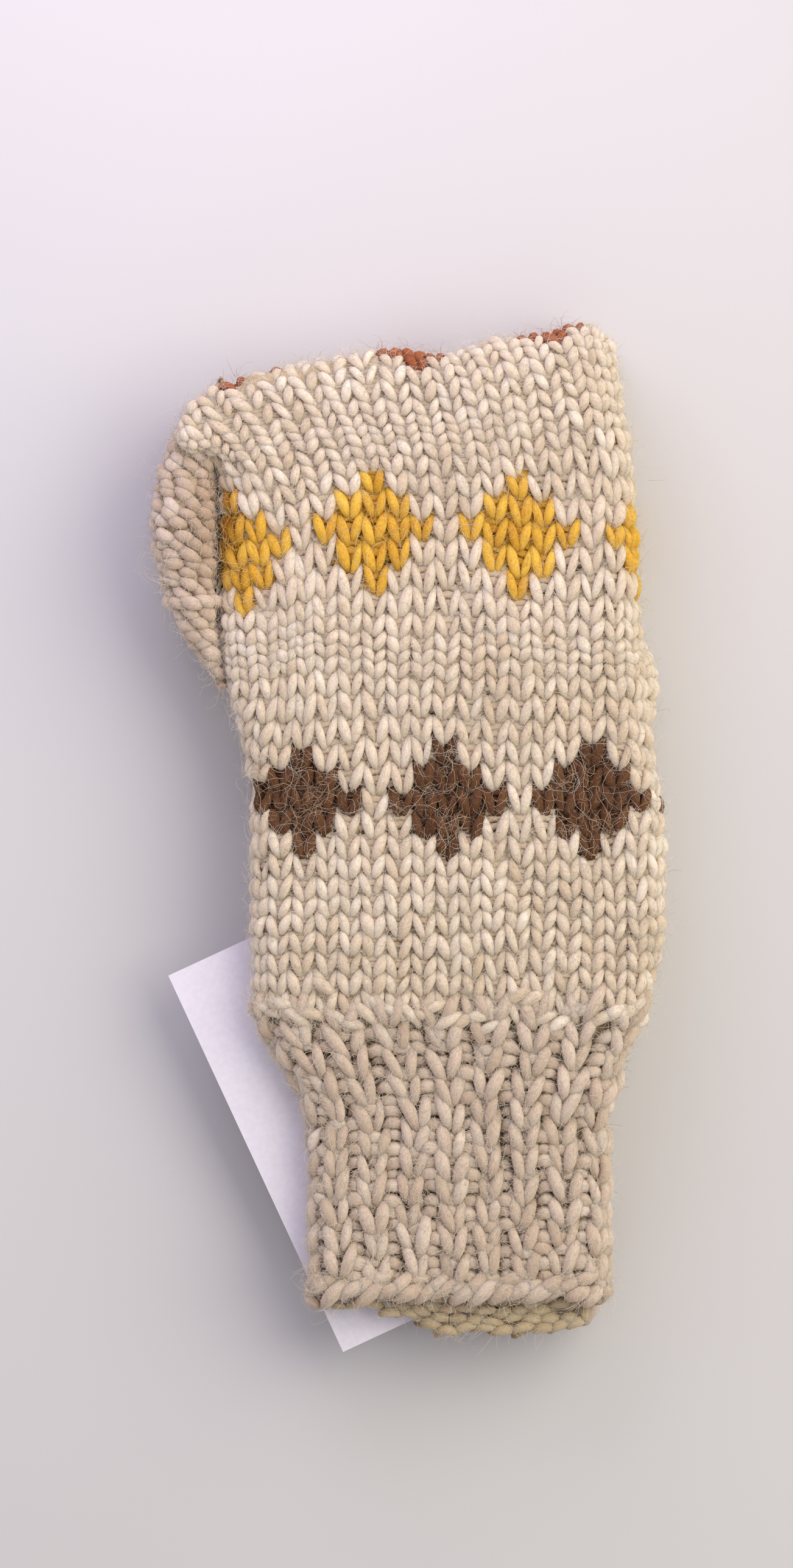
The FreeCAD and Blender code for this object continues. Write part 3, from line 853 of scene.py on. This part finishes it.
def thumb_bumps(piece, start, end, sides, seed):
    """Short plump purl bumps in slanting files round the thumb."""
    own = default_rng(seed)
    t = steps_along(7)
    hump = swell(t, 0.03)
    for y in np.arange(start + 1.0, end - 0.2, BUMP_PITCH):
        left, right, low, high = thumb_section(y)
        girth = math.pi * ((right - left) / 2 + (high - low) / 2)
        many = max(int(girth / 4.5), 3)
        offset = own.uniform(0, 0.25) + 0.5 * (round((y - start) / BUMP_PITCH) % 2)
        odd = vary(own, many, 5)
        span = 4.9 / (girth / (2 * math.pi)) * (1 + 0.08 * odd[0])
        angle = turns(many, offset) + (t - 0.5) * span
        along = y + 0.3 * odd[2] + (2.4 + 0.8 * odd[1]) * (t - 0.5)
        along = np.clip(along, start + 0.4, end - 0.1)
        points, normals = thumb_surface(angle, along, -2.4 + 1.5 * hump**0.8 + 0.2 * odd[3])
        fullest = min(THUMB_RADIUS, 0.42 * min(right - left, high - low))
        radius = fullest * (1 + 0.09 * odd[4]) * (0.5 + 0.5 * hump**0.8)
        # Painted shade: the thumb's low tone and the crease shade darken it
        tone = 0.12 + 0.2 * own.normal(0, 1, many)
        depth = 0.15 + 0.8 * hump - 1.3 * painted_crease_shade(points[..., 0], points[..., 1])
        piece.add(points, normals, radius, sides, tone, depth, flat=1.05)


def thumb_ridge(piece, sides, seed):
    """The round of plump strands where the thumb's stitches are picked up."""
    own = default_rng(seed)
    many = 9
    t = steps_along(7)
    hump = swell(t, 0.03)
    odd = vary(own, many, 4)
    along = 144.7 + 0.35 * odd[0] + 1.3 * (t - 0.5)
    angle = turns(many, 0.3) + (t - 0.5) * 0.95
    points, normals = thumb_surface(angle, along, -1.4 + 1.5 * hump + 0.15 * odd[1])
    radius = RIDGE_RADIUS * (1 + 0.08 * odd[2]) * (0.55 + 0.45 * hump**0.8)
    piece.add(points, normals, radius, sides, 0.25 + 0.15 * own.normal(0, 1, many), 0.25 + 0.75 * hump)


def thumb_gather(piece, sides):
    """The thumb's last stitches, drawn together to a point."""
    many = 7
    t = steps_along(6)
    angle = turns(many) + 0.4 * t
    points, normals = thumb_surface(angle, 184.6 + 3.4 * t + 0 * angle, -1.2)
    tone = 0.45 + 0.1 * rng.normal(0, 1, many)
    piece.add(points, normals, THUMB_CLOSING_RADIUS - 0.45 * t, sides, tone, 0.75)


# ---- backing skins under the stitches, in painted-shade wool
def stadium(left, right, low, high, inset, corners):
    """One closed flattened ring, evenly stepped round its edge: x and z."""
    radius, middle = (high - low) / 2, (high + low) / 2
    straight = max(right - left - 2 * radius, 0.01)
    small = radius - inset
    half = straight + math.pi * small
    run = np.arange(corners) / corners * 2 * half
    below = run >= half
    run = np.where(below, run - half, run)
    turn = np.maximum(run - straight, 0) / small
    reach = np.where(run < straight, left + radius + run, right - radius + small * np.sin(turn))
    drop = small * np.cos(turn)
    return np.where(below, left + right - reach, reach), np.where(below, middle - drop, middle + drop)


def tube_skin(levels, edges, inset, thickness, corners, closed_end, edge_of=None):
    """A tube-shaped skin inside the CAD's own sections, open at its start: its corners and quads."""
    shells = []
    for depth in (inset, inset + thickness):
        rings = []
        for level in levels:
            left, right, low, high = section(edges, level)
            x, z = stadium(left, right, low, high, min(depth, (high - low) / 2 - 0.4), corners)
            y = np.full(corners, float(level))
            if edge_of is not None and level == levels[0]:
                y = edge_of(x, z)
            rings.append(np.stack([x, y, z], axis=1))
        if closed_end:
            last = rings[-1]
            middle = last.mean(0)
            for share in (0.6, 0.12):
                ring = middle + (last - middle) * share
                ring[:, 1] += (1 - share) * 0.8
                rings.append(ring)
        shells.append(np.concatenate(rings))
    many = len(shells[0])
    outer = sleeve(many // corners, corners)
    inner = outer[:, ::-1] + many
    k = np.arange(corners)
    k_next = np.roll(k, -1)
    start_rim = np.stack([k, k_next, k_next + many, k + many], 1)
    end_rim = start_rim[:, ::-1] + many - corners
    return np.concatenate(shells), np.concatenate([outer, inner, start_rim, end_rim])


def cuff_edge(x, z):
    """The lower edge of the cuff's backing skin: the palm side hangs lower."""
    share = np.clip((26.5 - z) / 11.0, 0, 1)
    return 1.6 - palm_drop(x) * smooth(share)


CUFF_LEVELS = [3, 8, 16, 24, 32, 38, 43, 48, 52, 55, 57.5]
HAND_LEVELS = [62.5, 66, 70, 75, 85, 98, 105, 112, 119, 126, 134]
HAND_LEVELS += [142, 155, 170, 178, 183, 188, 191, 193.5, 195.5]
LINING_LEFT_LIMIT = -51.5


def hand_lining():
    """The hand's backing skin, painted in shade, which leaves out the corner folded over the thumb."""
    edges = node_edges(HAND_NODES)
    unfolded = edges[0][:, 0] > LINING_LEFT_LIMIT
    edges = [ends[unfolded] for ends in edges]
    vertices, quads = tube_skin(HAND_LEVELS, edges, 3.7, 0.6, 96, closed_end=True)
    vertices[:, 1] += tip_shift(vertices[:, 0], vertices[:, 1])
    return vertices, quads


def cuff_lining():
    """The cuff's backing skin, painted in shade, open at both ends."""
    return tube_skin(CUFF_LEVELS, node_edges(CUFF_NODES), 4.0, 0.6, 96, False, cuff_edge)


def thumb_lining():
    """The thumb's backing skin, painted in shade, from just above its base."""
    return tube_skin(thumb_levels[thumb_levels > 133], thumb_edges, 1.6, 0.5, 40, closed_end=True)


# ---- loose fibres
def over_colour(x, y):
    """Which of some points of the flattened hand lie over coloured stitches."""
    column, round_ = every_stitch()
    stitch_x, stitch_y = lattice(column, round_ + 0.3)
    nearest = ((x[:, None] - stitch_x) ** 2 + (y[:, None] - stitch_y) ** 2).argmin(1)
    return yarn_of(column, round_)[nearest] != "cream"


# Loose fibres that aren't peeled from strands: length, height, curl, half width and steps
HAZE = (4.6, 1.1, 0.40, 0.024, 5)
WISPS = (10.0, 1.7, 0.36, 0.030, 8)
LONG_HAIRS = (8.0, 1.8, 0.42, 0.036, 9)


def peel(piece, laid, each, reach, wide, seed):
    """Fine fibres that come out of strands of yarn and lie loosely along and across them."""
    own = default_rng(seed)
    steps = 4
    t = np.linspace(0, 1, steps)[None, :, None]
    for points, normals, radius in laid:
        strand = np.repeat(np.arange(len(points)), each)
        many = len(strand)
        at = own.integers(1, points.shape[1] - 1, many)
        up = normals[strand, at]
        along = unit(np.gradient(points, axis=1))[strand, at]
        across = unit(np.cross(along, up))
        side = own.uniform(-1.1, 1.1, (many, 1))
        outward = up * np.cos(side) + across * np.sin(side)
        turn = own.normal(0, 0.55, (many, 1)) + math.pi * own.integers(0, 2, (many, 1))
        angle = turn[:, None] + own.normal(0, 1.6, (many, 1, 1)) * t
        stride = (reach * own.lognormal(0, 0.4, (many, 1)) / (steps - 1))[:, None]
        run = np.cumsum((along[:, None] * np.cos(angle) + across[:, None] * np.sin(angle)) * stride, axis=1)
        root = points[strand, at] + outward * radius[strand, at][:, None] * 0.92
        rise = 0.30 * own.lognormal(0, 0.6, (many, 1, 1)) * np.sin(math.pi * 0.85 * t)
        path = root[:, None] + run + outward[:, None] * rise
        facing = np.broadcast_to(up[:, None], path.shape)
        width = wide * (1 - 0.7 * t[..., 0] ** 2) * np.ones((many, 1))
        piece.add_fibres(path, facing, width, own.uniform(0, 1, many))


def fuzz(piece, x, y, layer, seed, reach, lift, curl, wide, steps):
    """Thin curling fibres lying over the fabric and standing a little off it."""
    own = default_rng(seed)
    many = len(x)
    heading = own.uniform(0, 2 * math.pi, many)[:, None]
    length = reach * own.lognormal(0, 0.35, many)
    bend = own.normal(0, curl, (many, steps)).cumsum(axis=1)
    angle = heading + bend + own.normal(0, curl * 1.4, (many, 1)) * np.arange(steps)
    stride = (length / (steps - 1))[:, None]
    px = x[:, None] + np.cumsum(np.cos(angle) * stride, axis=1) - np.cos(angle[:, :1]) * stride
    py = y[:, None] + np.cumsum(np.sin(angle) * stride, axis=1) - np.sin(angle[:, :1]) * stride
    t = steps_along(steps)
    peak = lift * own.lognormal(0, 0.5, (many, 1))
    height = -0.9 + peak * np.sin(math.pi * (0.15 + 0.75 * t)) + 0.25 * own.normal(0, 1, (many, 1)) * t
    points, normals, spread = surface(px, py, height, layer)
    width = wide * (1 - 0.75 * t**2) + 0 * px
    shown = spread.min(axis=1) > -2.2
    tone = own.uniform(0, 1, many)
    piece.add_fibres(points[shown], normals[shown], width[shown], tone[shown])


# ---- hidden yarn
def floats(piece, middle_round, rounds, seed):
    """Strands carried loosely across the inside, one loop round the hand for each round of the band."""
    own = default_rng(seed)
    column = np.linspace(-8.0, 6.6, 41)[None]
    for index in range(rounds):
        round_ = middle_round - (rounds - 1) / 2 + index
        wave = 0.06 * np.sin(column * 2.1 + own.uniform(0, 6))
        for layer in ("front", "palm"):
            x, y = lattice(column, round_ + wave)
            lift = np.full_like(x, -3.6)
            lay(piece, x, y, lift, layer, FLOAT_RADIUS, 5, np.array([0.5]), 0.6, -math.inf)


def darned_end(piece, node, lies_across, seed):
    """One loose yarn end, from side to side of its CAD node's box or along it."""
    own = default_rng(seed)
    low, high = node_box(node)
    start, end = (low + high) / 2, (low + high) / 2
    axis = 0 if lies_across else 1
    start[axis], end[axis] = low[axis], high[axis]
    t = np.linspace(0, 1, 13)[:, None]
    path = start * (1 - t) + end * t
    path[:, :2] += 0.5 * np.sin(t * 9 + own.uniform(0, 6)) * np.sin(math.pi * t)
    normals = np.tile([0.0, 0.0, 1.0], (1, len(path), 1))
    piece.add(path[None], normals, TAIL_RADIUS, 6, np.array([0.5]), 0.7)


def tip_gather(piece):
    """The drawn-in closing of the fingertips, on the palm side."""
    low, high = node_box("tip_gather")
    middle, reach = (low + high) / 2, (high[0] - low[0]) / 2
    many = 13
    t = steps_along(7)
    hump = swell(t, 0.1, 0.8)
    angle = turns(many) + 0.35 * t
    out = 0.9 + (reach - 0.9) * t
    x, y = middle[0] + out * np.cos(angle), middle[1] + out * np.sin(angle)
    points = np.stack([x, y, PALM_HEIGHT + 1.9 - 0.9 * hump + 0 * x], axis=-1)
    normals = np.zeros_like(points)
    normals[..., 2] = -1
    radius = TIP_CLOSING_RADIUS * (0.6 + 0.4 * hump)
    piece.add(points, normals, radius, 7, 0.5 + 0.1 * rng.normal(0, 1, many), 0.8)


def place(strands, name, yarn, side, body, bends=False):
    """Builds one piece and puts it on its CAD body, or, with bends on the right mitten, bakes its placement
    and leaves it unattached. It stands for the CAD node that has its name, if any.
    """
    node = f"{side}_{name}"
    stands_for_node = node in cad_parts
    piece = strands.build(f"{node}_wool" if stands_for_node else node, MATERIALS[yarn], side == "left")
    if bends and side == "right":
        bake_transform(piece)
    else:
        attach(piece, body)
    if stands_for_node:
        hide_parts(node)


def make(name, yarn, side, body, fill_piece, *values, bends=False):
    """One piece of the mitten: a function fills it with strands, and then it is placed."""
    strands = Strands()
    fill_piece(strands, *values)
    place(strands, name, yarn, side, body, bends)
    return strands


def both_layers(piece, knit, front, seed):
    """Knits the palm and then the front, whose strands alone get loose fibres."""
    knit(piece, "palm", *OTHER_DETAIL, seed + 1)
    piece.laid.clear()
    knit(piece, "front", *front, seed)


def make_hand(side, body, front, seed):
    """The hand's stitches, one piece for each yarn."""
    yarns = {yarn: Strands() for yarn in ("cream", *BANDS)}
    knit_hand(yarns, "palm", *OTHER_DETAIL, seed + 1)
    for strands in yarns.values():
        strands.laid.clear()
    knit_hand(yarns, "front", *front, seed)
    if side == "right":
        knit_back(yarns, "front", seed + 50)
    place(yarns["cream"], "hand", "cream", side, body, bends=True)
    for band in BANDS:
        place(yarns[band], f"{band}_diamonds", band, side, body)
    return yarns


def make_hidden_yarn(side, cuff_body, hand_body, seed):
    """The floats behind the bands, the two darned ends and the tip's closing."""
    bands = (("brown", BROWN_ROUND, 5), ("yellow", YELLOW_ROUND, 5), ("rust", RUST_ROUND - 2.5, 2))
    for yarn, middle, rounds in bands:
        make(f"{yarn}_floats", yarn, side, hand_body, floats, middle, rounds, seed + 11)
    make("cuff_tail", "cream", side, cuff_body, darned_end, "cuff_tail", False, seed + 12)
    make("tip_tail", "cream", side, hand_body, darned_end, "tip_tail", True, seed + 12)
    make("tip_gather", "cream", side, hand_body, tip_gather)


def make_long_fibres(side, body, amount, seed):
    """Haze and wisps over the whole mitten, fewer over colour, and pale hairs over the two lower bands."""
    for layer, part in (("front", amount), ("palm", 0.3 * amount)):
        own = default_rng(seed + 20)
        for name, look, count, left, right, top, on_colour, own_seed in (
            ("haze", HAZE, 9000, -66, 48, 208, 0.2, seed + 21),
            ("wisps", WISPS, 1800, -60, 44, 206, 0.3, seed + 22),
        ):
            many = int(count * part)
            x, y = own.uniform(left, right, many), own.uniform(0, top, many)
            kept = ~over_colour(x, y) | (own.uniform(0, 1, many) < on_colour)
            spots = (x[kept], y[kept], layer, own_seed)
            make(f"{name}_{layer}", "cream_hair", side, body, fuzz, *spots, *look, bends=True)
        for yarn, hairs, count in (("brown", "pale_hair", 260), ("yellow", "gold_hair", 200)):
            middle, first = BANDS[yarn]
            many = int(count * part) + 1
            column = own.choice(first + REPEAT * np.arange(-2, 3), many) + own.normal(0, 1.1, many)
            x, y = lattice(column, middle + own.normal(0, 1.1, many))
            make(f"{yarn}_hairs_{layer}", hairs, side, body, fuzz, x, y, layer, seed + 23, *LONG_HAIRS)


def make_mitten(side, cuff_body, hand_body, thumb_body, front, seed):
    """One whole mitten. Only the upper one gets short fibres."""
    yarns = make_hand(side, hand_body, front, seed)
    # The backing skins and the inside bumps are in wool painted in shade
    make("hand_lining", "lining", side, hand_body, Strands.add_skin, *hand_lining(), bends=True)
    make("cuff_lining", "lining", side, cuff_body, Strands.add_skin, *cuff_lining(), bends=True)
    # The cuff, its cast-on edge and the thumb are in the cuff wool, a darker copy of the cream: painted
    # shade
    ribs = make("ribbed_cuff", "cuff", side, cuff_body, both_layers, knit_cuff, front, seed + 2, bends=True)
    edge = make("cast_on_edge", "cuff", side, cuff_body, both_layers, cast_on, front, seed + 4)
    inside = make("cuff_inside", "lining", side, cuff_body, inside_bumps, front[1], seed + 30)
    above = (both_layers, increase, front, seed + 6)
    added = make("increase_round", "cream", side, hand_body, *above, bends=True)
    gusset = make("thumb_gusset", "cuff", side, thumb_body, thumb_bumps, 127.0, 143.3, front[1], seed + 8)
    ridge = make("thumb_ridge", "cuff", side, thumb_body, thumb_ridge, front[1], seed + 9)
    tube = make("thumb_tube", "cuff", side, thumb_body, thumb_bumps, 145.6, 185.0, front[1], seed + 10)
    gather = make("thumb_gather", "cuff", side, thumb_body, thumb_gather, front[1])
    make("thumb_lining", "lining", side, thumb_body, Strands.add_skin, *thumb_lining())
    make_hidden_yarn(side, cuff_body, hand_body, seed)
    if side == "right":
        for yarn, strands in yarns.items():
            amount = (strands.laid, FIBRES_EACH, 2.8, 0.026, seed + 40)
            make(f"{yarn}_fibres", f"{yarn}_hair", side, hand_body, peel, *amount, bends=yarn == "cream")
        for name, laid, more, body in (
            ("rib", ribs.laid, 2, cuff_body),
            ("edge", edge.laid, 2, cuff_body),
            ("inner", inside.laid, 1, cuff_body),
            ("added", added.laid, 2, hand_body),
            ("thumb", gusset.laid + ridge.laid + tube.laid + gather.laid, 1, thumb_body),
        ):
            amount = (laid, more * FIBRES_EACH, 2.9, 0.028, seed + 41)
            make(f"{name}_fibres", "cream_hair", side, body, peel, *amount, bends=name in ("rib", "added"))
    make_long_fibres(side, hand_body, 1.0 if side == "right" else 0.15, seed)


make_mitten("right", "right_cuff", "right_hand", "right_thumb", FRONT_DETAIL, 100)
make_mitten("left", "left_mitten", "left_mitten", "left_thumb", OTHER_DETAIL, 300)

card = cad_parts["label_card"].data
card.materials.clear()
card.materials.append(paper("card"))

# ---- floor, light and camera
FLOOR = 3.0
VIEW_CENTRE = (-0.0132, (106.9 - ORIGIN_ALONG) * MM, 0.025)
CAMERA_HEIGHT = 2.0
FIELD_TALL = 0.3272
SENSOR = 36.0


def make_floor():
    """A plain pale floor."""
    mesh = bpy.data.meshes.new("floor")
    corners = [(-FLOOR, -FLOOR, 0), (FLOOR, -FLOOR, 0), (FLOOR, FLOOR, 0), (-FLOOR, FLOOR, 0)]
    mesh.from_pydata(corners, [], [(0, 1, 2, 3)])
    material, tree, shader = new_material("pale_floor")
    fill(tree, shader, {"Base Color": (0.60, 0.59, 0.59, 1), "Roughness": 0.9})
    mesh.materials.append(material)
    add_object("floor", mesh)


def area_light(name, aim, energy, size, offset, colour):
    """A soft square light aimed at the view's centre."""
    data = bpy.data.lights.new(name, "AREA")
    data.energy, data.size, data.color = energy, size, colour
    light = add_object(name, data)
    light.location = [centre + away for centre, away in zip(VIEW_CENTRE, offset)]
    light.visible_camera = False
    track = light.constraints.new("TRACK_TO")
    track.target = aim
    track.track_axis = "TRACK_NEGATIVE_Z"
    track.up_axis = "UP_Y"


def light_the_scene():
    """A warm soft key from the right, cool lights past the fingertips and at the left, and a soft sky."""
    aim = add_object("aim", None)
    aim.location = VIEW_CENTRE
    area_light("key", aim, 7.6, 0.9, (0.56, 0.24, 0.64), (1.0, 0.94, 0.79))
    area_light("rim", aim, 0.42, 0.22, (-0.07, 0.25, 0.17), (0.80, 0.70, 1.0))
    area_light("side", aim, 0.12, 0.20, (-0.30, -0.02, 0.12), (0.78, 0.76, 1.0))
    world = bpy.data.worlds.new("studio")
    world.use_nodes = True
    background = world.node_tree.nodes["Background"]
    fill(world.node_tree, background, {"Color": (0.95, 0.92, 1.0, 1), "Strength": 0.56})
    bpy.context.scene.world = world


def make_camera():
    """A camera straight above, from far enough away that the view is nearly without perspective."""
    data = bpy.data.cameras.new("camera")
    data.sensor_fit = "VERTICAL"
    data.sensor_height = SENSOR
    data.lens = SENSOR * CAMERA_HEIGHT / FIELD_TALL
    data.clip_start = 0.01
    camera = add_object("camera", data)
    camera.location = (VIEW_CENTRE[0], VIEW_CENTRE[1], VIEW_CENTRE[2] + CAMERA_HEIGHT)
    bpy.context.scene.camera = camera


make_floor()
light_the_scene()
make_camera()
bpy.context.scene.view_settings.view_transform = "Standard"
